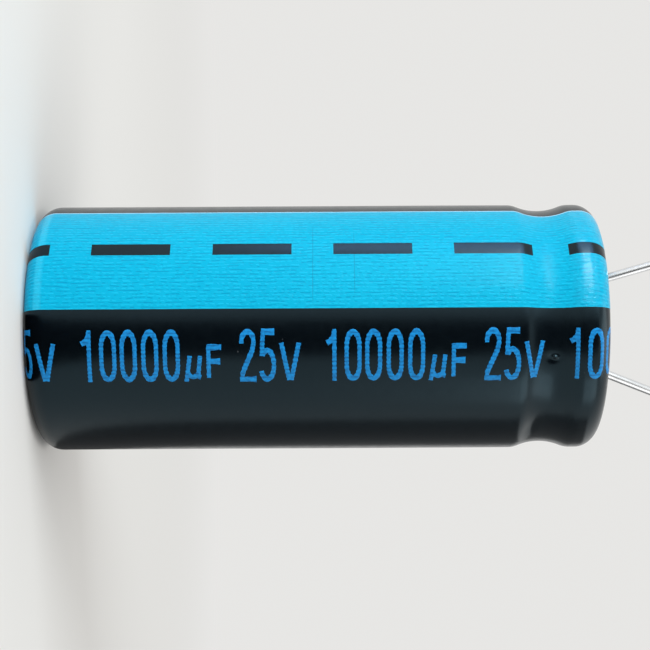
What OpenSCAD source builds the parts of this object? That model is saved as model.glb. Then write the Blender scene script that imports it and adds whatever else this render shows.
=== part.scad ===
// Radial aluminium electrolytic capacitor, standing on its closed end with its leads up.
// Millimetres. The origin is the centre of the closed end, and +Z runs along the can towards the leads.
// The negative lead is on the -X side, and the polarity stripe runs up the sleeve beside it.

/* [Body] */
// Diameter over the sleeve
body_d = 22.5; // [20:0.1:26]
// Length of the body over the sleeve
body_len = 50.8; // [46:0.1:60]
// Rounding of the sleeved shoulder at the closed end
closed_shoulder_r = 1.95; // [1.2:0.05:2.6]
// Rounding of the sleeved rim at the lead end
rim_r = 1.8; // [1.4:0.05:2.2]

/* [Sleeve] */
// Wall of the shrunk sleeve
sleeve_t = 0.25; // [0.15:0.01:0.4]
// How far the sleeve folds in over the closed end
closed_fold = 2.9; // [2.7:0.1:5]
// How far the sleeve wraps round the rim, in degrees from the side wall
rim_wrap = 112; // [95:1:125]
// How deep the sleeve sags over the bead
sleeve_sag = 0.55; // [0.2:0.05:0.9]

/* [Polarity stripe] */
// Width of the printed stripe, in degrees round the sleeve
stripe_angle = 59; // [30:1:90]
// Direction that the middle of the stripe faces
stripe_dir = 198; // [170:1:215]
// Thickness of the ink
ink_t = 0.05; // [0.03:0.01:0.08]
// How far the ink stops short of each end
ink_margin = 0.35; // [0.2:0.05:0.8]
// Length of one dash
dash_len = 6.9; // [4:0.1:9]
// Width of one dash
dash_w = 1.25; // [0.5:0.05:2]
// Distance from one dash to the next
dash_pitch = 10.5; // [9.5:0.1:14]
// Height of the first dash's lower end
dash_start = -4.6; // [-6:0.1:0]
// Direction that the row of dashes faces
dash_dir = 198.5; // [190:0.5:206]

/* [Can] */
// Wall of the drawn can
can_t = 0.4; // [0.3:0.05:0.55]
// Thickness of the closed end
can_base_t = 0.55; // [0.5:0.05:0.9]
// Length of each arm of the vent score
vent_len = 13; // [8:0.5:14]
// Width of the score at the surface
vent_w = 0.7; // [0.4:0.05:0.9]
// Depth of the score
vent_depth = 0.3; // [0.15:0.01:0.35]
// Middle of the bead, measured from the lead end
bead_from_end = 5.1; // [4.9:0.1:6]
// Half of the bead's width
bead_half_w = 2.8; // [2.4:0.05:3]
// Depth of the bead in the can
bead_depth = 1.6; // [1.1:0.05:1.9]
// Rounding where the wall turns into the bead, over the sleeve
bead_shoulder_r = 2.1; // [1.6:0.05:2.3]
// How far the mouth curls in, in degrees from the side wall
curl_sweep = 150; // [135:1:165]

/* [Bung] */
// Thickness of the rubber bung
bung_t = 7.6; // [7:0.1:9]
// How far the bung's face lies under the inside of the curl
bung_drop = 0.1; // [0.05:0.05:0.4]
// Distance between the leads
lead_pitch = 10; // [7.5:0.1:11]
// Diameter of the funnel round each wire
funnel_d = 2; // [1.4:0.1:2.6]
// Depth of the funnel
funnel_depth = 0.5; // [0.2:0.05:1]

/* [Tabs] */
// Diameter of the tab's round shank
shank_d = 2.2; // [1.6:0.1:2.6]
// How far the shank's welded end lies under the bung's face
weld_depth = 2.2; // [1.6:0.1:3]
// How far the shank reaches out under the bung
shank_below = 0.4; // [0.1:0.1:0.7]
// Height over which the shank is pressed flat
flatten_len = 1.2; // [0.8:0.1:1.2]
// Width of the flat strip
strip_w = 2.8; // [2:0.1:4]
// Thickness of the flat strip
strip_t = 0.3; // [0.15:0.05:0.5]
// How far the strip stops above the roll's lower end
strip_margin = 4; // [1:0.5:12]

/* [Wires] */
// Diameter of the tinned wires
wire_d = 0.8; // [0.6:0.05:1]
// Height of the weld bead
weld_h = 0.8; // [0.4:0.1:1.2]
// Width of the weld bead at the shank
weld_d = 1.5; // [1.2:0.1:1.6]
// Radius of the bend in each wire, to the wire's middle
bend_r = 1.4; // [1:0.1:3]
// How far the positive wire stands straight out of the bung before its bend
positive_stub = 1.3; // [0:0.1:4]
// How far the negative wire stands straight out of the bung before its bend
negative_stub = 0.8; // [0:0.1:4]
// Lean of the positive wire, in degrees
positive_splay = 25; // [5:1:40]
// Lean of the negative wire, in degrees
negative_splay = 19; // [5:1:40]
// Length of the positive wire past its bend
positive_len = 25; // [10:0.5:35]
// Length of the negative wire past its bend
negative_len = 20; // [10:0.5:35]

/* [Wound element] */
// Gap all round between the taped roll and the can
roll_gap = 0.3; // [0.1:0.05:0.8]
// Free height between the roll and the bung
head_space = 2; // [1.7:0.1:4]
// Hole that the winding mandrel leaves
mandrel_d = 2.6; // [1.5:0.1:4]
// Distance from one modelled turn to the next
turn_pitch = 1.2; // [0.9:0.1:2]
// Width of the groove between modelled turns
turn_gap = 0.3; // [0.2:0.05:0.5]
// Depth of the groove between modelled turns
turn_depth = 0.4; // [0.2:0.05:0.8]
// Thickness of the winding tape
tape_t = 0.1; // [0.05:0.01:0.2]
// Bare roll above and below the tape
tape_margin = 3; // [1:0.5:8]

/* [Hidden] */
$fn = 96;
eps = 0.01;
// How far a cutter runs past the face that it opens
over = 1;
// How far the arcs of a bead run into each other
blend = 0.002;

// The sleeved outline that every shell is set in from
body_r = body_d / 2;
bead_z = body_len - bead_from_end;
rim_centre = [body_r - rim_r, body_len - rim_r];
can_inset = sleeve_t;
bore_inset = sleeve_t + can_t;

// The bung
bung_top = body_len - bore_inset - bung_drop;
bung_bottom = bung_top - bung_t;
weld_z = bung_top - weld_depth;

// The roll, which sits in the rounded corner of the can
taped_r = body_r - bore_inset - roll_gap;
roll_r = taped_r - tape_t;
corner_r = closed_shoulder_r - bore_inset;
corner_reach = roll_r - (body_r - closed_shoulder_r);
corner_seat = closed_shoulder_r - sqrt(pow(corner_r, 2) - pow(corner_reach, 2));
roll_bottom = max(can_inset + can_base_t, corner_seat);
roll_top = bung_bottom - head_space;
first_turn = mandrel_d / 2 + turn_pitch;
tape_len = roll_top - roll_bottom - 2 * tape_margin;

// The tabs
shank_bottom = bung_bottom - shank_below;
strip_top = shank_bottom - flatten_len;
strip_bottom = roll_bottom + strip_margin;

// The groove rolled round the body, as the region that it takes away from an outline set in by inset
module groove(inset, depth) {
  shoulder = bead_shoulder_r - inset;
  turn = 2 * atan(depth / bead_half_w);
  hollow = bead_half_w / sin(turn) - shoulder;
  meet_x = -shoulder * (1 - cos(turn));
  translate([body_r - inset, bead_z]) difference() {
    union() {
      translate([meet_x, -bead_half_w]) square([over - meet_x, 2 * bead_half_w]);
      translate([hollow - depth, 0]) circle(r = hollow + blend);
    }
    for (s = [-1, 1]) translate([-shoulder, s * bead_half_w]) circle(r = shoulder);
  }
}

// Half of the body's section, set in by inset from the sleeved outline
module half_section(inset, depth) {
  r = body_r - inset;
  foot = closed_shoulder_r - inset;
  rim = rim_r - inset;
  difference() {
    union() {
      translate([0, closed_shoulder_r]) square([r, body_len - rim_r - closed_shoulder_r]);
      translate([0, inset]) square([body_r - closed_shoulder_r, closed_shoulder_r - inset]);
      translate([0, body_len - rim_r]) square([body_r - rim_r, rim]);
      translate([body_r - closed_shoulder_r, closed_shoulder_r]) quarter(foot, -90);
      translate(rim_centre) quarter(rim, 0);
    }
    groove(inset, depth);
  }
}

// A quarter of a disc, from the given direction
module quarter(r, from) {
  rotate([0, 0, from]) intersection() {
    circle(r = r);
    square([r, r]);
  }
}

// A bent strip round the rim's own centre, from the side wall inwards
module rim_arc(outer, inner, sweep) {
  far = 3 * outer;
  translate(rim_centre) intersection() {
    difference() {
      circle(r = outer);
      circle(r = inner);
    }
    polygon([[0, 0], [far, 0], [far, far], [0, far], [far * cos(sweep), far * sin(sweep)]]);
  }
}

// The side and shoulder of a shell between two insets, open past the rim's centre
module side_section(outer_inset, outer_depth, inner_inset, inner_depth) {
  difference() {
    half_section(outer_inset, outer_depth);
    half_section(inner_inset, inner_depth);
    translate([-eps, body_len - rim_r]) square([body_r + over, rim_r + over]);
  }
}

module sleeve() color([0.05, 0.07, 0.1]) rotate_extrude() {
  difference() {
    side_section(0, sleeve_sag, sleeve_t, sleeve_sag);
    translate([-eps, -eps]) square([body_r - closed_fold + eps, closed_shoulder_r + over]);
  }
  rim_arc(rim_r, rim_r - sleeve_t, rim_wrap);
}

module polarity_stripe() color([0.12, 0.76, 0.92]) difference() {
  rotate([0, 0, stripe_dir - stripe_angle / 2]) rotate_extrude(angle = stripe_angle) difference() {
    half_section(-ink_t, sleeve_sag);
    half_section(0, sleeve_sag);
    translate([-eps, -over]) square([body_r + over, over + ink_margin]);
    translate([-eps, body_len - ink_margin]) square([body_r + over, ink_margin + over]);
  }
  for (z = [dash_start : dash_pitch : body_len]) rotate([0, 0, dash_dir])
    translate([body_r - closed_shoulder_r - over, -dash_w / 2, z])
    cube([closed_shoulder_r + 2 * over, dash_w, dash_len]);
}

module can() color([0.78, 0.79, 0.8]) difference() {
  rotate_extrude() {
    side_section(can_inset, bead_depth, bore_inset, bead_depth);
    rim_arc(rim_r - can_inset, rim_r - bore_inset, curl_sweep);
    translate([0, can_inset]) square([body_r - closed_shoulder_r, can_base_t]);
  }
  for (a = [0, 90]) rotate([0, 0, a]) vent_score();
}

// One arm of the scored vent, a V cut across the middle of the closed end
module vent_score() {
  translate([-vent_len / 2, 0, can_inset]) rotate([90, 0, 90])
    linear_extrude(height = vent_len)
    polygon([[-vent_w / 2, -over], [vent_w / 2, -over], [vent_w / 2, 0], [0, vent_depth], [-vent_w / 2, 0]]);
}

module rubber_bung() color([0.12, 0.12, 0.13]) difference() {
  rotate_extrude() difference() {
    intersection() {
      half_section(bore_inset, bead_depth);
      translate([0, bung_bottom]) square([body_r, bung_t]);
    }
    rim_arc(rim_r - can_inset, rim_r - bore_inset, curl_sweep);
  }
  for (s = [-1, 1]) translate([s * lead_pitch / 2, 0, 0]) {
    translate([0, 0, bung_bottom - over]) cylinder(d = shank_d, h = weld_z - bung_bottom + over);
    translate([0, 0, weld_z]) cylinder(d1 = weld_d, d2 = wire_d, h = weld_h);
    translate([0, 0, weld_z]) cylinder(d = wire_d, h = weld_depth + over);
    translate([0, 0, bung_top - funnel_depth]) cylinder(d1 = wire_d, d2 = funnel_d, h = funnel_depth);
    translate([0, 0, bung_top]) cylinder(d = funnel_d, h = over);
  }
}

// One tab, with its strip lying flat against the turns of the roll
module tab() {
  translate([0, 0, shank_bottom]) cylinder(d = shank_d, h = weld_z - shank_bottom);
  translate([0, 0, strip_top]) intersection() {
    cylinder(d = shank_d, h = flatten_len);
    rotate([90, 0, 0]) linear_extrude(height = shank_d, center = true)
      polygon([[-strip_t / 2, 0], [strip_t / 2, 0], [shank_d / 2, flatten_len], [-shank_d / 2, flatten_len]]);
  }
  translate([-strip_t / 2, -strip_w / 2, strip_bottom]) cube([strip_t, strip_w, strip_top - strip_bottom]);
}

module positive_tab() color([0.72, 0.73, 0.75]) translate([lead_pitch / 2, 0, 0]) tab();

module negative_tab() color([0.72, 0.73, 0.75]) translate([-lead_pitch / 2, 0, 0]) tab();

// One wire, welded to its shank, straight out of the bung and then leaning towards -X
module wire(stub, splay, length) {
  translate([0, 0, weld_z]) {
    cylinder(d1 = weld_d, d2 = wire_d, h = weld_h);
    cylinder(d = wire_d, h = weld_depth + stub);
    translate([-bend_r, 0, weld_depth + stub]) {
      rotate([90, 0, 0]) rotate_extrude(angle = splay) translate([bend_r, 0]) circle(d = wire_d);
      rotate([0, -splay, 0]) translate([bend_r, 0, 0]) cylinder(d = wire_d, h = length);
    }
  }
}

module positive_wire() color([0.85, 0.86, 0.88])
  translate([lead_pitch / 2, 0, 0]) rotate([0, 0, 180]) wire(positive_stub, positive_splay, positive_len);

module negative_wire() color([0.85, 0.86, 0.88])
  translate([-lead_pitch / 2, 0, 0]) wire(negative_stub, negative_splay, negative_len);

module wound_element() color([0.86, 0.82, 0.7]) difference() {
  translate([0, 0, roll_bottom]) cylinder(r = roll_r, h = roll_top - roll_bottom);
  translate([0, 0, roll_bottom - over]) cylinder(d = mandrel_d, h = roll_top - roll_bottom + 2 * over);
  for (r = [first_turn : turn_pitch : roll_r - turn_pitch / 2])
    translate([0, 0, roll_top - turn_depth]) difference() {
      cylinder(r = r + turn_gap / 2, h = turn_depth + over);
      cylinder(r = r - turn_gap / 2, h = turn_depth + over);
    }
  for (s = [-1, 1]) translate([s * lead_pitch / 2 - strip_t / 2, -strip_w / 2, strip_bottom])
    cube([strip_t, strip_w, roll_top - strip_bottom + over]);
}

module winding_tape() color([0.85, 0.72, 0.4]) translate([0, 0, roll_bottom + tape_margin]) difference() {
  cylinder(r = taped_r, h = tape_len);
  translate([0, 0, -over]) cylinder(r = roll_r, h = tape_len + 2 * over);
}

sleeve();
polarity_stripe();
can();
rubber_bung();
positive_tab();
negative_tab();
positive_wire();
negative_wire();
wound_element();
winding_tape();
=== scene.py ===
from math import atan2, cos, degrees, exp, hypot, pi, radians, sin

import bmesh
import bpy
from mathutils import Matrix, Vector, noise


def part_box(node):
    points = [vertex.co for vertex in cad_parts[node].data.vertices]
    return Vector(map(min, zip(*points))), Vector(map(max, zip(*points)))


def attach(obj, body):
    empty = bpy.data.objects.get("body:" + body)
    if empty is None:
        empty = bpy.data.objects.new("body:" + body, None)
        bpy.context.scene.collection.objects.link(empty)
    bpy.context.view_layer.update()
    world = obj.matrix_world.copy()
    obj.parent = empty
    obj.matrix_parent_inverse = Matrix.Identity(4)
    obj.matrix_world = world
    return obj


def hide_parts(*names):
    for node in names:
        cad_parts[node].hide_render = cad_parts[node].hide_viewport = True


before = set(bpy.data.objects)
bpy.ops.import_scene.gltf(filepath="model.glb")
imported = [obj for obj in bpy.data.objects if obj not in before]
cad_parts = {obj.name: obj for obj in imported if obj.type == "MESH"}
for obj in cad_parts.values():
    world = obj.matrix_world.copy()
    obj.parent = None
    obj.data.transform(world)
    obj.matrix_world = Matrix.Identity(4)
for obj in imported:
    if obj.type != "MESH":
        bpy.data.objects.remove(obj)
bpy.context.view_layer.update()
mm = 0.001

# The sleeve is a black PVC tube, printed flat, slipped over the can and shrunk on with hot air.
# It folds over the shoulder at both ends and sags into the rolled bead below the lead end.
# Where it shrank unevenly it has a pinched crease, a pimple in a dimple, and a slight ripple.
sleeve_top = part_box("sleeve")[1]
body_r = sleeve_top.y
body_len = sleeve_top.z
sleeve_wall = 0.22 * mm
foot_r = 1.95 * mm
rim_r = 1.8 * mm
rim_z = body_len - rim_r
rim_wrap = 112
fold_in = 2.9 * mm
bead_z = body_len - 5.1 * mm
bead_half = 2.8 * mm
bead_shoulder = 2.1 * mm
sag = 0.55 * mm
ink_t = 0.015 * mm
sides_round = 256
ring_pitch = 1.0 * mm
foot_steps = 12
shoulder_steps = 6
sag_steps = 16
rim_steps = 18

# Each flaw has its angle round the body, its height, its half width and its half height
crease = (293, 44.3 * mm, 1.6 * mm, 0.55 * mm)
crease_deep = 0.16 * mm
dimple = (251.0, 45.66 * mm, 0.4 * mm, 0.48 * mm)
dimple_deep = 0.11 * mm
pimple = (250.5, 45.86 * mm, 0.17 * mm, 0.24 * mm)
pimple_high = 0.24 * mm
fine_z = 45.8 * mm
fine_reach = 1.1 * mm
ripple = 0.012 * mm
bead_ripple = 0.03 * mm
bead_ripple_reach = 4 * mm
ripple_scale = 230
ripple_stretch = 0.45
# The folds at both ends are held in shape: only what lies near the full radius can move
held_in = 1.6 * mm
held_over = 1 * mm

pvc_black = (0.0006, 0.0014, 0.0026)
pvc_grey = (0.0014, 0.0024, 0.0040)
pvc_gleam = (0.47, 0.78, 0.94, 1)
dust_grey = (0.35, 0.37, 0.38)


def bearing(angle):
    """The level direction at that angle round the body."""
    return Vector((cos(radians(angle)), sin(radians(angle)), 0))


def run_on(bm, end, x, z, steps=1):
    """Carries the outline straight on to x, z."""
    start = end.co.copy()
    goal = Vector((x, 0, z))
    for step in range(steps):
        end = bmesh.ops.extrude_vert_indiv(bm, verts=[end])["verts"][0]
        end.co = start.lerp(goal, (step + 1) / steps)
    return end


def turn_on(bm, end, x, z, turn, steps):
    """Carries the outline on round x, z, and counts a turn from +X to +Z as positive."""
    made = bmesh.ops.spin(bm, geom=[end], cent=(x, 0, z), axis=(0, -1, 0),
                          angle=radians(turn), steps=steps)
    return [v for v in made["geom_last"] if isinstance(v, bmesh.types.BMVert)][0]


def tube_outline(inset):
    """The tube's outline from its fold on the closed end to its lip on the rim, set in by inset."""
    bm = bmesh.new()
    r = body_r - inset
    low_z = bead_z - bead_half
    high_z = bead_z + bead_half
    shoulder = bead_shoulder - inset
    dip = 2 * degrees(atan2(sag, bead_half))
    hollow = bead_half / sin(radians(dip)) - shoulder
    end = bmesh.ops.create_vert(bm, co=(body_r - fold_in, 0, inset))["vert"][0]
    end = run_on(bm, end, body_r - foot_r, inset, 2)
    end = turn_on(bm, end, body_r - foot_r, foot_r, 90, foot_steps)
    end = run_on(bm, end, r, low_z, round((low_z - foot_r) / ring_pitch))
    end = turn_on(bm, end, r - shoulder, low_z, dip, shoulder_steps)
    end = turn_on(bm, end, r + hollow - sag, bead_z, -2 * dip, sag_steps)
    end = turn_on(bm, end, r - shoulder, high_z, dip, shoulder_steps)
    end = run_on(bm, end, r, rim_z)
    turn_on(bm, end, body_r - rim_r, rim_z, rim_wrap, rim_steps)
    return bm


def mound(angle, z, at_angle, at_z, wide, tall):
    """A soft round mound on the wall, 1 at its middle."""
    across = radians((angle - at_angle + 180) % 360 - 180) * body_r / wide
    along = (z - at_z) / tall
    return exp(-across * across - along * along)


def settle(point):
    """Moves a point of the wall in to where the tube lies after it has shrunk."""
    x, y, z = point
    r = hypot(x, y)
    angle = degrees(atan2(y, x)) % 360
    side = min(1, max(0, (r - body_r + held_in) / held_over))
    slow = noise.noise(Vector((x, y, z * ripple_stretch)) * ripple_scale)
    near_bead = exp(-((z - bead_z) / bead_ripple_reach) ** 2)
    fall = (ripple + bead_ripple * near_bead) * (0.5 + 0.5 * slow)
    fall += crease_deep * mound(angle, z, *crease)
    fall += dimple_deep * mound(angle, z, *dimple)
    fall -= pimple_high * mound(angle, z, *pimple)
    scale = 1 - fall * side / r
    return Vector((x * scale, y * scale, z))


def revolve(bm, steps, turn=360):
    """Turns an outline about the can's axis."""
    outline = bm.verts[:] + bm.edges[:]
    bmesh.ops.spin(bm, geom=outline, cent=(0, 0, 0), axis=(0, 0, 1), angle=radians(turn),
                   steps=steps, use_merge=turn == 360, use_duplicate=False)
    bmesh.ops.recalc_face_normals(bm, faces=bm.faces)


def put(tree, kind, inputs=(), **settings):
    """Adds a shader node, with a value or a link for each input named."""
    node = tree.nodes.new("ShaderNode" + kind)
    for name, value in settings.items():
        setattr(node, name, value)
    for socket, value in dict(inputs).items():
        if isinstance(value, bpy.types.NodeSocket):
            tree.links.new(value, node.inputs[socket])
        else:
            node.inputs[socket].default_value = value
    return node


def calc(tree, operation, *values, clamp=False):
    """One sum on shader values."""
    return put(tree, "Math", enumerate(values), operation=operation, use_clamp=clamp).outputs[0]


def fade(tree, value, low, high):
    """0 below low and 1 above high, or the other way round where low is the larger."""
    inputs = {"Value": value, "From Min": low, "From Max": high}
    return put(tree, "MapRange", inputs, interpolation_type="SMOOTHSTEP").outputs["Result"]


def moved(tree, where, turn=(0, 0, 0), size=(1, 1, 1)):
    """The position on the piece, turned and scaled."""
    inputs = {"Vector": where, "Rotation": turn, "Scale": size}
    return put(tree, "Mapping", inputs, vector_type="POINT").outputs[0]


def grain(tree, where, scale, stretch=(1, 1, 1), detail=2.0, turn=(0, 0, 0)):
    """Soft random grain, so many to the millimetre, drawn out by stretch."""
    spot = moved(tree, where, turn, [scale / mm / s for s in stretch])
    inputs = {"Vector": spot, "Scale": 1.0, "Detail": detail, "Roughness": 0.55}
    return put(tree, "TexNoise", inputs).outputs["Fac"]


def tint(tree, amount, base, other):
    """base where amount is 0 and other where it is 1."""
    node = put(tree, "Mix", {0: amount}, data_type="RGBA")
    for socket, value in ((6, base), (7, other)):
        if isinstance(value, bpy.types.NodeSocket):
            tree.links.new(value, node.inputs[socket])
        else:
            node.inputs[socket].default_value = (*value, 1)
    return node.outputs[2]


def stain(tree, colour, amount, share, other):
    """Lays another colour over the first where amount is 1, but only by that share."""
    return tint(tree, calc(tree, "MULTIPLY", amount, share), colour, other)


def finish(name, roughness, metallic=0.0, specular=0.5):
    """A new material, its tree, its shader and the position on the piece."""
    made = bpy.data.materials.new(name)
    made.use_nodes = True
    tree = made.node_tree
    shader = tree.nodes["Principled BSDF"]
    shader.inputs["Roughness"].default_value = roughness
    shader.inputs["Metallic"].default_value = metallic
    shader.inputs["Specular IOR Level"].default_value = specular
    where = put(tree, "TexCoord").outputs["Object"]
    return made, tree, shader, where


def feed(tree, shader, socket, value):
    """Links a worked-out value or colour to the shader."""
    tree.links.new(value, shader.inputs[socket])


def relief(tree, shader, height, depth):
    """Raises the surface by height times depth, in metres."""
    bump = put(tree, "Bump", {"Height": height, "Distance": depth, "Strength": 1.0})
    for surface in ("Normal", "Coat Normal"):
        feed(tree, shader, surface, bump.outputs[0])


def dusty(tree, where, colour):
    """The colour with sparse pale specks of dust."""
    wavy = grain(tree, where, 5.0, detail=1.0)
    cells = put(tree, "TexVoronoi", {"Vector": where, "Scale": 0.55 / mm}).outputs["Distance"]
    few = fade(tree, grain(tree, where, 0.23, detail=0.0), 0.54, 0.62)
    spot = fade(tree, calc(tree, "MULTIPLY_ADD", wavy, 0.07, cells), 0.085, 0.06)
    return stain(tree, colour, calc(tree, "MULTIPLY", spot, few), 0.22, dust_grey)


def new_piece(name, bm, material, slot, *nodes):
    """Makes the mesh a piece of the object that stands for these CAD nodes."""
    mesh = bpy.data.meshes.new(name)
    bm.to_mesh(mesh)
    bm.free()
    mesh.shade_smooth()
    piece = bpy.data.objects.new(name, mesh)
    bpy.context.scene.collection.objects.link(piece)
    mesh.materials.append(material)
    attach(piece, "root")
    if nodes:
        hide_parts(*nodes)
    return piece


pvc, tree, shader, where = finish("black_shrunk_pvc", 0.3, specular=0.45)
shader.inputs["Specular Tint"].default_value = pvc_gleam
mottle = grain(tree, where, 0.35, stretch=(1, 1, 3))
streaks = grain(tree, where, 3.2, stretch=(1, 1, 9), detail=1.0)
peel = grain(tree, where, 1.3)
feed(tree, shader, "Base Color", dusty(tree, where, tint(tree, mottle, pvc_black, pvc_grey)))
feed(tree, shader, "Roughness", calc(tree, "MULTIPLY_ADD", peel, 0.12, 0.18))
relief(tree, shader, calc(tree, "MULTIPLY_ADD", streaks, 0.3, peel), 0.004 * mm)

bm = tube_outline(ink_t)
wall_line = [v.co.copy() for v in bm.verts]
revolve(bm, sides_round)
middle = bearing(pimple[0]) * body_r + Vector((0, 0, fine_z))
near = [e for e in bm.edges if all((v.co - middle).length < fine_reach for v in e.verts)]
bmesh.ops.subdivide_edges(bm, edges=near, cuts=3, use_grid_fill=True)
for v in bm.verts:
    v.co = settle(v.co)
sleeve = new_piece("shrunk_sleeve", bm, pvc, "sleeve_pvc", "sleeve")
wall = sleeve.modifiers.new("wall", "SOLIDIFY")
wall.thickness = sleeve_wall
wall.offset = -1

# The polarity stripe is cyan ink, printed on the tube before it is cut and shrunk, on the side
# of the negative lead. A row of dashes is left open in it, and shrinking crackled it lengthwise.
# A highlight is painted along one edge as a paler line, and handling has rubbed both ends glossy.
stripe_at = 198
stripe_wide = 59.2
stripe_steps = 42
ink_wall = ink_t * 0.85
as_one = 1e-7
dash_at = 198.5
dash_wide = 1.25 * mm
dash_long = 6.87 * mm
dash_starts = [-4.7 * mm, 5.8 * mm, 16.35 * mm, 26.85 * mm, 37.35 * mm, 47.35 * mm]
crackle_pitch = 0.36 * mm
# The painted highlight along the edge has its middle and its half width, soft and full, in radians
edge_highlight_line = (0.006 - radians(stripe_wide / 2), 0.012, 0.004)
# Each faint cross line has its height and its reach round the body in radians
cross_lines = [(25.06 * mm, 0.42), (28.66 * mm, 0.34)]
cross_middle = 0.12
cross_half = 0.02 * mm
cross_soft = 0.06 * mm
# Each pair is the height where the rubbing has not begun and the height where it is full. The band
# at the foot also gets a painted highlight.
rim_rub_at = (rim_z - 1.9 * mm, rim_z - 0.6 * mm)
foot_rub_and_highlight_from = (0.95 * mm, 1.2 * mm)
foot_rub_and_highlight_to = (1.9 * mm, 1.5 * mm)

cyan_ink = (0.001, 0.36, 0.575)
cyan_thick = (0.002, 0.41, 0.63)
cyan_cracked = (0.001, 0.26, 0.46)
# The colour of the highlight painted on the lifted ink beside the cracks
cyan_painted_ridge_highlight = (0.010, 0.51, 0.75)
# The colour of the highlight painted on the rubbed band at the foot
cyan_painted_foot_highlight = (0.03, 0.56, 0.80)
cyan_crossed = (0.01, 0.20, 0.36)
# The colour of the highlight painted along one edge of the stripe
cyan_painted_edge_highlight = (0.45, 0.70, 0.88)
cyan_gleam = (0.2, 0.75, 1.0, 1)


def crackle(tree, where, round_it):
    """Fine cracks in rows along the body, and the lifted ink beside them, where a highlight is
    painted, each as 0 to 1.
    """
    drift = calc(tree, "MULTIPLY", grain(tree, where, 0.9, stretch=(1, 1, 3)), 9.0)
    rows_round = 2 * pi * body_r / crackle_pitch
    rows = calc(tree, "SINE", calc(tree, "MULTIPLY_ADD", round_it, rows_round, drift))
    broken = fade(tree, grain(tree, where, 2.9, stretch=(1, 1, 1.5), detail=1.0), 0.45, 0.55)
    spots = fade(tree, grain(tree, where, 3.6, stretch=(1, 1, 1.2), detail=0.0), 0.42, 0.56)
    crack = calc(tree, "MULTIPLY", fade(tree, rows, 0.62, 0.95), broken)
    lifted_and_highlit = calc(tree, "MULTIPLY", fade(tree, rows, -0.2, -0.9), spots)
    return crack, lifted_and_highlit


def line_at(tree, value, middle, far, near):
    """1 where the value is within near of the middle, and 0 where it is farther off than far."""
    off = calc(tree, "ABSOLUTE", calc(tree, "SUBTRACT", value, middle))
    return fade(tree, off, far, near)


cyan, tree, shader, where = finish("cyan_stripe_ink", 0.32, specular=0.12)
shader.inputs["Specular Tint"].default_value = cyan_gleam
shader.inputs["Coat Roughness"].default_value = 0.16
from_stripe = moved(tree, where, turn=(0, 0, radians(-stripe_at)))
x_out, y_out, z_up = put(tree, "SeparateXYZ", {0: from_stripe}).outputs
round_it = calc(tree, "ARCTAN2", y_out, x_out)
rim_rub = fade(tree, z_up, *rim_rub_at)
foot_rub_and_highlight = calc(tree, "MULTIPLY", fade(tree, z_up, *foot_rub_and_highlight_to), fade(tree, z_up, *foot_rub_and_highlight_from))
rubbed = calc(tree, "MULTIPLY_ADD", foot_rub_and_highlight, 1.3, rim_rub)
scuffs = fade(tree, grain(tree, where, 4.0, (1, 1, 2.5), turn=(0.6, 0.4, 0)), 0.3, 0.62)
gloss = calc(tree, "MULTIPLY_ADD", calc(tree, "MULTIPLY", rubbed, scuffs), 0.4, 0.08)
crack, lifted_and_highlit = crackle(tree, where, round_it)
colour = tint(tree, grain(tree, where, 0.3, stretch=(1, 1, 2.5)), cyan_ink, cyan_thick)
colour = stain(tree, colour, crack, 0.8, cyan_cracked)
# The lifted ink beside the cracks is painted lighter as a highlight
colour = stain(tree, colour, lifted_and_highlit, 0.5, cyan_painted_ridge_highlight)
# The rubbed band at the foot is glossier, and is also painted paler as a highlight
colour = stain(tree, colour, foot_rub_and_highlight, 0.45, cyan_painted_foot_highlight)
# A paler line is painted along one edge as a highlight
edge_highlight = line_at(tree, round_it, *edge_highlight_line)
colour = stain(tree, colour, edge_highlight, 0.8, cyan_painted_edge_highlight)
for line_z, reach in cross_lines:
    level = line_at(tree, z_up, line_z, cross_soft, cross_half)
    ends = line_at(tree, round_it, cross_middle, reach, reach * 0.6)
    colour = stain(tree, colour, calc(tree, "MULTIPLY", level, ends), 0.5, cyan_crossed)
feed(tree, shader, "Base Color", colour)
feed(tree, shader, "Coat Weight", gloss)
relief(tree, shader, calc(tree, "SUBTRACT", lifted_and_highlit, crack), 0.012 * mm)

bm = tube_outline(0)
start = Matrix.Rotation(radians(stripe_at - stripe_wide / 2), 3, "Z")
bmesh.ops.rotate(bm, verts=bm.verts, cent=(0, 0, 0), matrix=start)
revolve(bm, stripe_steps, stripe_wide)
if bm.faces[len(bm.faces) // 2].normal.dot(bearing(stripe_at)) < 0:
    bmesh.ops.reverse_faces(bm, faces=bm.faces)
across = bearing(dash_at + 90)
up_it = Vector((0, 0, 1))
cuts = [(across * side * dash_wide / 2, across) for side in (-1, 1)]
cuts += [(up_it * (z + reach), up_it) for z in dash_starts for reach in (0, dash_long)]
for place, normal in cuts:
    bmesh.ops.bisect_plane(bm, geom=bm.verts[:] + bm.edges[:] + bm.faces[:],
                           plane_co=place, plane_no=normal, dist=as_one)


def in_a_dash(point):
    """Whether the point lies in one of the open dashes."""
    if abs(point.dot(across)) > dash_wide / 2:
        return False
    return any(z < point.z < z + dash_long for z in dash_starts)


opened = [f for f in bm.faces if in_a_dash(f.calc_center_median())]
bmesh.ops.delete(bm, geom=opened, context="FACES")
for v in bm.verts:
    v.co = settle(v.co)
for e in bm.edges:
    e.smooth = not e.is_boundary
ink = new_piece("stripe_ink_coat", bm, cyan, "stripe_ink", "polarity_stripe")
coat = ink.modifiers.new("coat", "SOLIDIFY")
coat.thickness = ink_wall
coat.offset = -1

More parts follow.
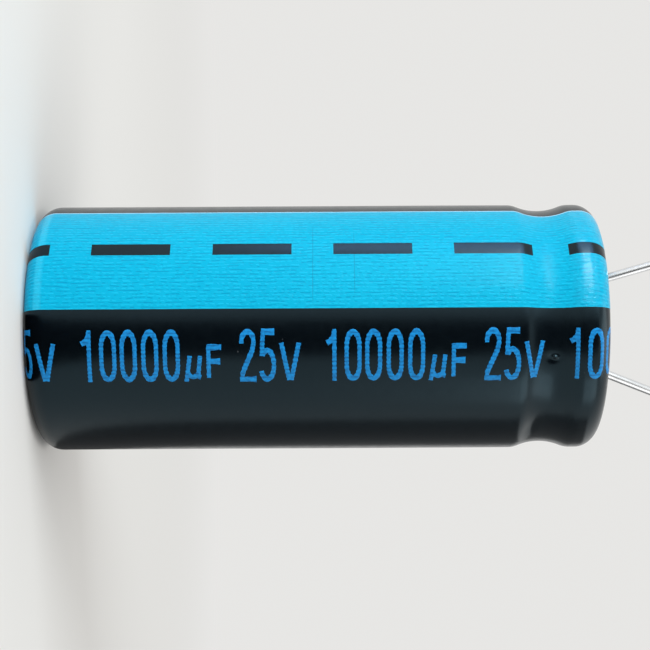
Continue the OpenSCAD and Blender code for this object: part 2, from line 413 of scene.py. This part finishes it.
# The rating is one line of blue ink along the body, repeated down the tube before it was cut.
# Its figures are plain single strokes, which follow the wall over the sag and round both ends.
# The crackle of the shrunk tube has made the edges of the strokes ragged.
print_repeat = 21.0 * mm
repeats = (-1, 0, 1, 2)
print_start = 4.93 * mm
print_foot = 260.2
print_t = 0.014 * mm
stroke = 0.35 * mm
flat_from = stroke / 5
# The edges are ragged by this share, out of step by so many radians, and unlike in each repeat
ragged = 0.13
out_of_step = 5
repeat_apart = 7
# How much wider a stroke is where it runs along the body, and the figures that differ in it
swell = 0.5
swells = {"u": 0.2}
# Distance between the points of a stroke in millimetres, and the points that close a ring
point_pitch = 0.09
closing_points = 14

blue_ink = (0.004, 0.225, 0.58)
blue_thin = (0.003, 0.16, 0.42)
# The colour of the highlight painted on the lifted ink beside the cracks
blue_painted_ridge_highlight = (0.005, 0.33, 0.75)
blue_cracked = (0.001, 0.05, 0.16)


def bow(x, y, wide, tall, start, stop, steps):
    """Points on an oval about x, y, from one angle to another."""
    angles = [radians(start + (stop - start) * i / steps) for i in range(steps + 1)]
    return [(x + wide * cos(a), y + tall * sin(a)) for a in angles]


# Strokes of each figure in millimetres, from the foot of its left side
figures = {
    "0": [bow(0.75, 3.1, 0.55, 1.27, 0, 180, 16) + bow(0.75, 1.5, 0.55, 1.27, 180, 360, 16)],
    "1": [[(0.95, 0), (0.95, 4.6)],
          [(0.3, 3.42), (0.62, 3.58), (0.86, 3.95), (0.94, 4.4)]],
    "2": [bow(0.72, 3.55, 0.52, 0.86, 190, -22, 16)
          + [(1.1, 2.75), (0.5, 1.35), (0.28, 0.75), (0.24, 0.22)],
          [(0.04, 0.2), (1.45, 0.2)]],
    "5": [[(1.32, 4.4), (0.2, 4.4)],
          [(0.34, 4.4), (0.24, 2.3)],
          [(0.26, 2.35)] + bow(0.7, 1.5, 0.57, 1.3, 120, -155, 18)],
    "u": [[(0.44, 2.35), (0.1, 0.0)],
          [(0.3, 0.8), (0.42, 0.5), (0.7, 0.42), (0.98, 0.55), (1.16, 0.8)],
          [(1.32, 2.35), (1.14, 0.75), (1.2, 0.45), (1.36, 0.4)]],
    "F": [[(0.2, 0.35), (0.2, 3.3)], [(0.1, 3.1), (1.3, 3.1)], [(0.2, 1.85), (1.2, 1.85)]],
    "V": [[(0.15, 3.45), (0.82, 0.1)], [(0.98, 0.1), (1.65, 3.45)]],
}
rating = [("1", 0), ("0", 1.8), ("0", 3.56), ("0", 5.4), ("0", 7.24), ("u", 9.13), ("F", 10.97),
          ("2", 13.8), ("5", 15.5), ("V", 17.26)]

blue, tree, shader, where = finish("blue_rating_ink", 0.32, specular=0.24)
x_out, y_out = put(tree, "SeparateXYZ", {0: where}).outputs[:2]
crack, lifted_and_highlit = crackle(tree, where, calc(tree, "ARCTAN2", y_out, x_out))
patchy = grain(tree, where, 2.6, stretch=(1, 1, 0.6), detail=3.0)
colour = tint(tree, fade(tree, patchy, 0.35, 0.7), blue_ink, blue_thin)
# The lifted ink beside the cracks is painted lighter as a highlight
colour = stain(tree, colour, lifted_and_highlit, 0.4, blue_painted_ridge_highlight)
colour = stain(tree, colour, crack, 0.6, blue_cracked)
feed(tree, shader, "Base Color", colour)
relief(tree, shader, patchy, 0.004 * mm)


def close_set(points, closed):
    """The points of a stroke, with more between them, and round to the first if it is closed."""
    fine = [Vector(points[0]).to_3d()]
    for goal in (Vector(point).to_3d() for point in points[1:]):
        start = fine[-1]
        count = max(1, round((goal - start).length / point_pitch))
        fine += [start.lerp(goal, (i + 1) / count) for i in range(count)]
    if closed:
        gap = closing_points + 1
        fine += [fine[-1].lerp(fine[0], (i + 1) / gap) for i in range(closing_points)]
    return fine


wall_foot = Vector((body_r - ink_t, 0, foot_r))
first = min(range(len(wall_line)), key=lambda i: (wall_line[i] - wall_foot).length)


def along_wall(s):
    """The place on the wall's line and the way out from it, s high as the straight wall goes."""
    i = first
    here = wall_line[i].z
    step = 1 if s > here else -1
    while 0 <= i + step < len(wall_line):
        length = (wall_line[i + step] - wall_line[i]).length
        if abs(s - here) <= length:
            break
        here += step * length
        i += step
    if not 0 <= i + step < len(wall_line):
        return None
    ahead = (wall_line[i + step] - wall_line[i]).normalized()
    out = Vector((ahead.z, 0, -ahead.x)) * step
    return wall_line[i] + ahead * abs(s - here), out


lines = bpy.data.curves.new("rating_lines", "CURVE")
lines.dimensions = "3D"
lines.bevel_depth = stroke / 2
lines.bevel_resolution = 2
lines.use_fill_caps = True
for repeat in repeats:
    for figure, shift in rating:
        closed = figure == "0"
        for points in figures[figure]:
            fine = close_set(points, closed)
            last = len(fine) - 1
            spline = lines.splines.new("POLY")
            spline.use_cyclic_u = closed
            spline.points.add(last)
            for i, at in enumerate(fine):
                ahead = fine[(i + 1) % len(fine)] if closed else fine[min(i + 1, last)]
                behind = fine[i - 1] if closed else fine[max(i - 1, 0)]
                lengthwise = abs((ahead - behind).normalized().x)
                up_wall = print_start + repeat * print_repeat + (shift + at.x) * mm
                spline.points[i].co = (up_wall, at.y * mm, 0, 1)
                in_noise = Vector((shift + at.x, at.y, repeat_apart * repeat))
                wander = out_of_step * noise.noise(in_noise)
                edge_wave = ragged * sin(2 * pi * at.y * mm / crackle_pitch + wander)
                swelled = 1 + swells.get(figure, swell) * lengthwise
                spline.points[i].radius = swelled * (1 + edge_wave)
flat = bpy.data.objects.new("rating_lines", lines)
bm = bmesh.new()
bm.from_mesh(bpy.data.meshes.new_from_object(flat))
bpy.data.objects.remove(flat)
past_the_ends = []
for v in bm.verts:
    found = along_wall(v.co.x)
    if found is None:
        past_the_ends.append(v)
        continue
    place, out = found
    place = place + out * max(-1, min(1, v.co.z / flat_from)) * print_t
    turn = Matrix.Rotation(radians(print_foot) - v.co.y / body_r, 3, "Z")
    v.co = settle(turn @ place)
bmesh.ops.delete(bm, geom=past_the_ends, context="VERTS")
bmesh.ops.holes_fill(bm, edges=[e for e in bm.edges if e.is_boundary])
bmesh.ops.recalc_face_normals(bm, faces=bm.faces)
printed = new_piece("rating_figures", bm, blue, "stripe_ink")
printed.data.set_sharp_from_angle(angle=radians(35))

# The can is drawn from aluminium sheet, with a cross scored in its closed end as the vent,
# a bead rolled in to squeeze the bung, and its mouth curled over onto the rubber.
aluminium_dull = (0.74, 0.75, 0.76)
aluminium_bright = (0.82, 0.82, 0.83)
drawn, tree, shader, where = finish("drawn_aluminium", 0.3, 1.0)
draw_lines = grain(tree, where, 5.0, stretch=(1, 1, 40))
dents = calc(tree, "MULTIPLY_ADD", grain(tree, where, 1.1), 0.5, draw_lines)
shade = tint(tree, grain(tree, where, 0.5), aluminium_dull, aluminium_bright)
feed(tree, shader, "Base Color", shade)
feed(tree, shader, "Roughness", calc(tree, "MULTIPLY_ADD", draw_lines, 0.2, 0.2))
relief(tree, shader, dents, 0.004 * mm)
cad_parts["can"].data.materials[0] = drawn

# The bung is moulded from black rubber, with a hole for each lead, and pressed into the can's
# mouth. The bead squeezes it from the side, and the curled mouth holds it down.
rubber_black = (0.016, 0.016, 0.017)
rubber_bloom = (0.034, 0.034, 0.035)
rubber, tree, shader, where = finish("moulded_rubber", 0.72, specular=0.35)
bloom = grain(tree, where, 0.7, detail=4.0)
feed(tree, shader, "Base Color", tint(tree, bloom, rubber_black, rubber_bloom))
relief(tree, shader, grain(tree, where, 6.0, detail=3.0), 0.02 * mm)
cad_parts["rubber_bung"].data.materials[0] = rubber

# The tabs are aluminium rod with the foot pressed flat, each stitched to its foil inside the
# roll. Their round ends fill the bung's holes, where the wires are welded to them.
tab_dull = (0.68, 0.69, 0.71)
tab_bright = (0.78, 0.79, 0.80)
tab_metal, tree, shader, where = finish("rolled_tab_aluminium", 0.34, 1.0)
rolled = grain(tree, where, 6.0, stretch=(1, 1, 12))
feed(tree, shader, "Base Color", tint(tree, rolled, tab_dull, tab_bright))
relief(tree, shader, rolled, 0.005 * mm)
for name in ("positive_tab", "negative_tab"):
    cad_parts[name].data.materials[0] = tab_metal

# The leads are copper-clad steel wire, tinned bright and welded end-on to the tabs. Each stands
# straight out of the bung, is bent outwards, and ends in the wedge that the cutter left.
wire_r = 0.4 * mm
wire_sides = 28
lead_off = 5 * mm
weld_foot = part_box("positive_wire")[0].z
weld_r = 0.75 * mm
weld_tall = 0.8 * mm
bung_face = body_len - 0.75 * mm
bend_r = 1.4 * mm
bend_steps = 6
wedge_long = 0.45 * mm
wedge_flat = (0.95, 0.3, 1)
tin_bright = (0.78, 0.79, 0.80)
tin_worn = (0.66, 0.67, 0.68)
# Each wire has its side, its straight stub, its lean in degrees and its length past the bend
wires = [("positive_wire", 1, 1.3 * mm, 25, 25 * mm),
         ("negative_wire", -1, 0.8 * mm, 19, 20 * mm)]


def next_ring(bm, ring, move, size=(1, 1, 1)):
    """Carries the wire's end on by move, scaled about its own middle."""
    made = bmesh.ops.extrude_edge_only(bm, edges=ring)["geom"]
    ring = [e for e in made if isinstance(e, bmesh.types.BMEdge) and e.is_boundary]
    # Taken in order, so that their middle comes out the same in every run
    verts = list(dict.fromkeys(v for e in ring for v in e.verts))
    bmesh.ops.translate(bm, verts=verts, vec=move)
    middle = sum((v.co for v in verts), Vector()) / len(verts)
    bmesh.ops.scale(bm, verts=verts, vec=size, space=Matrix.Translation(-middle))
    return ring


for name, side, stub, lean, long in wires:
    tinned, tree, shader, where = finish("bright_tin_" + name, 0.2, 1.0)
    scores = grain(tree, where, 7.0, stretch=(1, 1, 45), turn=(0, radians(-lean * side), 0))
    dulled = grain(tree, where, 1.6, stretch=(1, 1, 2.0), detail=3.0)
    worn = fade(tree, dulled, 0.4, 0.75)
    feed(tree, shader, "Base Color", tint(tree, worn, tin_bright, tin_worn))
    feed(tree, shader, "Roughness", calc(tree, "MULTIPLY_ADD", dulled, 0.2, 0.2))
    relief(tree, shader, scores, 0.0015 * mm)
    bm = bmesh.new()
    foot = Vector((side * lead_off, 0, weld_foot))
    bmesh.ops.create_circle(bm, cap_ends=True, segments=wire_sides, radius=weld_r,
                            matrix=Matrix.Translation(foot))
    narrowed = (wire_r / weld_r, wire_r / weld_r, 1)
    bend_z = bung_face + stub
    ahead = Vector((side * sin(radians(lean)), 0, cos(radians(lean))))
    ring = next_ring(bm, bm.edges[:], (0, 0, weld_tall), narrowed)
    ring = next_ring(bm, ring, (0, 0, bend_z - weld_foot - weld_tall))
    made = bmesh.ops.spin(bm, geom=ring, cent=(foot.x + side * bend_r, 0, bend_z),
                          axis=(0, side, 0), angle=radians(lean), steps=bend_steps)
    ring = [e for e in made["geom_last"] if isinstance(e, bmesh.types.BMEdge)]
    ring = next_ring(bm, ring, ahead * (long - wedge_long))
    ring = next_ring(bm, ring, ahead * wedge_long, wedge_flat)
    bmesh.ops.contextual_create(bm, geom=ring)
    bmesh.ops.remove_doubles(bm, verts=bm.verts, dist=as_one)
    bmesh.ops.recalc_face_normals(bm, faces=bm.faces)
    wire = new_piece("tinned_" + name, bm, tinned, "tinned_wire", name)
    wire.data.set_sharp_from_angle(angle=radians(40))

# The element is aluminium foil and soaked paper, wound together on a mandrel.
# Its ends show the turns as fine rings, and its side is one wrap of plain paper.
turn_pitch = 0.3 * mm
paper_tan = (0.70, 0.64, 0.50)
paper_pale = (0.82, 0.78, 0.66)
foil_edge = (0.40, 0.39, 0.37)
wound, tree, shader, where = finish("wound_paper_and_foil", 0.6, specular=0.4)
x_out, y_out = put(tree, "SeparateXYZ", {0: where}).outputs[:2]
squares = [calc(tree, "POWER", side, 2.0) for side in (x_out, y_out)]
out_by = calc(tree, "SQRT", calc(tree, "ADD", *squares))
turns = calc(tree, "SINE", calc(tree, "MULTIPLY", out_by, 2 * pi / turn_pitch))
fibres = grain(tree, where, 3.0, stretch=(1, 1, 2), detail=4.0)
paper = tint(tree, fibres, paper_tan, paper_pale)
feed(tree, shader, "Base Color", tint(tree, fade(tree, turns, 0.3, 0.8), paper, foil_edge))
relief(tree, shader, calc(tree, "ADD", turns, fibres), 0.01 * mm)
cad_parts["wound_element"].data.materials[0] = wound

# The winding tape is one turn of tan film tape round the middle of the roll.
# It keeps the roll closed while it is soaked and slipped into the can.
film_tan = (0.60, 0.44, 0.19)
film_pale = (0.72, 0.57, 0.29)
film, tree, shader, where = finish("tan_film_tape", 0.32)
creases = grain(tree, where, 1.0, stretch=(1, 1, 0.4), detail=3.0)
feed(tree, shader, "Base Color", tint(tree, creases, film_tan, film_pale))
relief(tree, shader, creases, 0.02 * mm)
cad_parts["winding_tape"].data.materials[0] = film

# The floor is plain pale card, and the part stands on it on its closed end.
# Away from the part it melts into a surround of the same pale colour.
surround = (0.80, 0.795, 0.78)
floor_r = 1.5
floor_sides = 96
melt_from = 0.06
melt_to = 0.22
surround_light = 0.7
bm = bmesh.new()
bmesh.ops.create_circle(bm, cap_ends=True, segments=floor_sides, radius=floor_r)
mesh = bpy.data.meshes.new("pale_floor")
bm.to_mesh(mesh)
bm.free()
floor = bpy.data.objects.new("pale_floor", mesh)
bpy.context.scene.collection.objects.link(floor)
pale, tree, shader, where = finish("pale_card", 1.0, specular=0.0)
shader.inputs["Base Color"].default_value = (*surround, 1)
away = put(tree, "VectorMath", {0: where}, operation="LENGTH").outputs["Value"]
far = fade(tree, away, melt_from, melt_to)
glow = put(tree, "Emission", {"Color": (*surround, 1), "Strength": 1.0}).outputs[0]
both = put(tree, "MixShader", {0: far, 1: shader.outputs[0], 2: glow}).outputs[0]
tree.links.new(both, tree.nodes["Material Output"].inputs[0])
mesh.materials.append(pale)

world = bpy.data.worlds.new("surround")
world.use_nodes = True
tree = world.node_tree
rays = put(tree, "LightPath").outputs
seen = calc(tree, "ADD", rays["Is Camera Ray"], rays["Is Glossy Ray"])
seen = calc(tree, "ADD", seen, rays["Is Transmission Ray"], clamp=True)
strength = calc(tree, "MULTIPLY_ADD", seen, 1 - surround_light, surround_light)
back = tree.nodes["Background"]
back.inputs["Color"].default_value = (*surround, 1)
tree.links.new(strength, back.inputs["Strength"])
bpy.context.scene.world = world

# The lamps are soft boxes: a large one and a small one on the stripe's side of the camera, a
# dimmer one on the other side, and one overhead for the views from above. A strip of blue sky
# stands beside the first two, but only reflections see it, as the gleam in the bare dashes.
camera_at = 236


def soft_lamp(name, angle, height, distance, size, power, colour=(1, 1, 1)):
    """An area lamp round the body at that angle, facing the middle of the body."""
    light = bpy.data.lights.new(name, "AREA")
    light.shape = "RECTANGLE"
    light.size = size[0]
    light.size_y = size[1]
    light.energy = power
    light.color = colour
    lamp = bpy.data.objects.new(name, light)
    bpy.context.scene.collection.objects.link(lamp)
    lamp.location = bearing(angle) * distance + Vector((0, 0, height))
    facing = Vector((0, 0, body_len / 2)) - lamp.location
    lamp.rotation_euler = facing.to_track_quat("-Z", "Y").to_euler()
    lamp.visible_camera = False
    return lamp


soft_lamp("window", camera_at - 45, height=0.22, distance=0.5, size=(0.5, 0.6),
          power=1.08, colour=(0.86, 0.96, 1.0))
soft_lamp("skylight", camera_at - 54, height=0.132, distance=0.38, size=(0.25, 0.085),
          power=0.85, colour=(0.93, 0.97, 1.0))
sky = soft_lamp("sky", camera_at - 79, height=0.12, distance=0.5, size=(0.1, 0.4),
                power=0.6, colour=(0.37, 0.6, 1.0))
sky.visible_diffuse = False
soft_lamp("room", camera_at + 62, height=0.3, distance=0.6, size=(0.3, 0.36), power=0.5)
soft_lamp("ceiling", camera_at + 40, height=0.62, distance=0.12, size=(0.4, 0.4),
          power=0.9, colour=(1.0, 0.96, 0.92))

# Two dark cards stand round the part: a black one before it gives the glossy wall its dark band,
# and a low grey one behind it deepens the wall's far edge.
# Only reflections see them, so that they cast no shade on the part.
card_from = 10.2 * mm
card_z = 0.2 * mm
card_rise = 200 * mm
card_to = 260 * mm
card_steps = 12


def dark_card(name, start, sweep, top, tone):
    """A card over the floor from the part, then up to top, from one angle round it to another."""
    bm = bmesh.new()
    end = bmesh.ops.create_vert(bm, co=(card_from, 0, card_z))["vert"][0]
    end = run_on(bm, end, card_rise, card_z)
    run_on(bm, end, card_to, top)
    turn = Matrix.Rotation(radians(start), 3, "Z")
    bmesh.ops.rotate(bm, verts=bm.verts, cent=(0, 0, 0), matrix=turn)
    revolve(bm, card_steps, sweep)
    mesh = bpy.data.meshes.new(name)
    bm.to_mesh(mesh)
    bm.free()
    card = bpy.data.objects.new(name, mesh)
    bpy.context.scene.collection.objects.link(card)
    matt, tree, shader, where = finish("matt_" + name, 1.0, specular=0.0)
    shader.inputs["Base Color"].default_value = (tone, tone, tone, 1)
    mesh.materials.append(matt)
    card.visible_camera = False
    card.visible_diffuse = False
    card.visible_shadow = False
    card.visible_transmission = False


dark_card("black_card", camera_at - 7, sweep=33, top=0.3, tone=0.01)
dark_card("grey_card", camera_at + 94, sweep=56, top=0.12, tone=0.15)

# The camera looks level at the side of the body, and is turned so that the leads point right.
# It stands close, with a long lens, and leans by a third of a degree.
camera_off = 135.5 * mm
camera_high = 26.09 * mm
camera_aside = 0.2 * mm
camera_lean = radians(0.32)
camera_lens = 80.62
look = bearing(camera_at)
aside = Vector((look.y, -look.x, 0))
upright = Vector((0, 0, 1))
right = cos(camera_lean) * upright - sin(camera_lean) * aside
above = sin(camera_lean) * upright + cos(camera_lean) * aside
camera = bpy.data.objects.new("camera", bpy.data.cameras.new("camera"))
bpy.context.scene.collection.objects.link(camera)
camera.location = look * camera_off + aside * camera_aside + upright * camera_high
camera.rotation_euler = Matrix((right, above, look)).transposed().to_euler()
camera.data.lens = camera_lens
camera.data.clip_start = 0.01
camera.data.clip_end = 10
bpy.context.scene.camera = camera
bpy.context.scene.view_settings.view_transform = "Standard"
